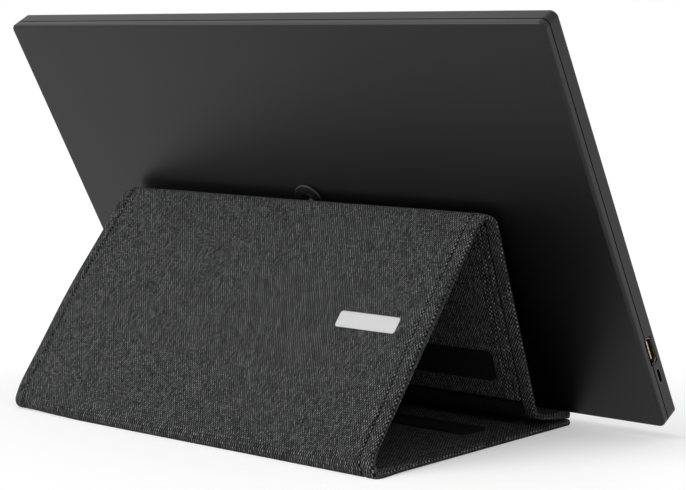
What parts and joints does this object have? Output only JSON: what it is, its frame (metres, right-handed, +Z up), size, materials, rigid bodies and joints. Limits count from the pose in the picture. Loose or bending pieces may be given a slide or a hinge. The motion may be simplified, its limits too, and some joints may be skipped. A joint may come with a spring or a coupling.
{
  "type": "portable monitor with folding sleeve stand",
  "caption": "Portable monitor leaning back on its fabric sleeve, which is folded into a triangular stand with a toe flap under the screen's edge.",
  "frame": {"origin": "centre of the whole part's footprint, on the table under the base panel", "axes": "+X along the monitor's width, +Y from the screen side towards the rear foot of the stand, +Z up"},
  "size_m": [0.36, 0.1648, 0.2097],
  "materials": {
    "case_plastic": "fine satin texture, dark grey",
    "bezel_plastic": "matte black",
    "screen": "anti-glare film, dark",
    "cell_glass": "liquid crystal cell",
    "optical_film": "diffuser and prism films",
    "guide_plastic": "clear light guide",
    "white_sheet": "white reflector",
    "light_parts": "light strip",
    "sheet_steel": "thin bright sheet",
    "black_tape": "adhesive tape",
    "circuit_board": "green solder mask",
    "flex_film": "amber polyimide film",
    "ribbon": "flat ribbon cable",
    "chip_black": "moulded chip packages",
    "soft_pad": "soft thermal pad",
    "gilt_contacts": "gilt socket shell",
    "socket_steel": "bright socket shell",
    "insert_brass": "turned brass insert",
    "button_plastic": "satin dark grey",
    "sleeve_cloth": "charcoal melange plain weave",
    "lining_cloth": "dark smooth lining",
    "hook_loop": "hook and loop pile",
    "board_card": "stiffening board",
    "label_print": "plain pale print"
  },
  "bodies": {
    "toe": {"toe_outer_cloth": "sleeve_cloth", "toe_board": "board_card", "toe_inner_cloth": "sleeve_cloth", "toe_hook_strip": "hook_loop", "toe_crease_cloth": "sleeve_cloth"},
    "lean": {"lean_outer_cloth": "sleeve_cloth", "lean_board": "board_card", "lean_lining": "lining_cloth", "lean_inner_cloth": "sleeve_cloth", "lean_hem": "sleeve_cloth", "lean_loop_strip": "hook_loop", "apex_fold_cloth": "sleeve_cloth"},
    "rear": {"rear_outer_cloth": "sleeve_cloth", "rear_board": "board_card", "rear_lining": "lining_cloth", "rear_inner_cloth": "sleeve_cloth", "rear_label": "label_print"},
    "base": {"foot_fold_cloth": "sleeve_cloth", "base_outer_cloth": "sleeve_cloth", "base_board": "board_card", "base_lining": "lining_cloth", "base_inner_cloth": "sleeve_cloth", "base_loop_strip": "hook_loop", "base_end_strip": "hook_loop"},
    "monitor": {"rear_cover": "case_plastic", "front_housing": "case_plastic", "front_bezel": "bezel_plastic", "screen_film": "screen", "display_cell": "cell_glass", "display_films": "optical_film", "light_guide": "guide_plastic", "reflector_sheet": "white_sheet", "light_strip": "light_parts", "panel_tray": "sheet_steel", "panel_tape": "black_tape", "drive_board": "circuit_board", "drive_flexes": "flex_film", "main_board": "circuit_board", "board_screws": "sheet_steel", "shield_can": "sheet_steel", "control_chips": "chip_black", "thermal_pad": "soft_pad", "panel_ribbon": "ribbon", "video_socket_shell": "gilt_contacts", "video_socket_tongue": "chip_black", "oval_socket_shell": "socket_steel", "oval_socket_tongue": "chip_black", "tripod_insert": "insert_brass", "button_board": "circuit_board", "button_switches": "chip_black"},
    "power": {"power_button": "button_plastic"},
    "menu_up": {"menu_up_button": "button_plastic"},
    "menu_down": {"menu_down_button": "button_plastic"}
  },
  "joints": [
    {"name": "monitor_lift", "type": "slide", "parent": "toe", "child": "monitor", "axis": [0, 0, 1], "range_m": [0, 0.125]},
    {"name": "toe_fold", "type": "hinge", "parent": "toe", "child": "lean", "pos_m": [0, -0.04167, 0.00815], "axis": [-1, 0, 0], "range_deg": [0, 75.5], "deforming": ["toe_crease_cloth"]},
    {"name": "apex_fold", "type": "hinge", "parent": "lean", "child": "rear", "pos_m": [0, -0.00627, 0.10746], "axis": [1, 0, 0], "range_deg": [0, 127.62], "deforming": ["apex_fold_cloth"]},
    {"name": "base_fold", "type": "hinge", "parent": "rear", "child": "base", "pos_m": [0, 0.07864, 0.0038], "axis": [1, 0, 0], "range_deg": [0, 128.88], "deforming": ["foot_fold_cloth"]},
    {"name": "power_press", "type": "slide", "parent": "monitor", "child": "power", "axis": [-1, 0, 0], "range_m": [0, 0.0004], "stiffness_N_per_m": 500, "springref_m": -0.0006},
    {"name": "menu_up_press", "type": "slide", "parent": "monitor", "child": "menu_up", "axis": [-1, 0, 0], "range_m": [0, 0.0004], "stiffness_N_per_m": 500, "springref_m": -0.0006},
    {"name": "menu_down_press", "type": "slide", "parent": "monitor", "child": "menu_down", "axis": [-1, 0, 0], "range_m": [0, 0.0004], "stiffness_N_per_m": 500, "springref_m": -0.0006}
  ],
  "couplings": [
    {"joint": "apex_fold", "follows": "toe_fold", "ratio": 1.6837},
    {"joint": "base_fold", "follows": "toe_fold", "ratio": 1.7004}
  ]
}
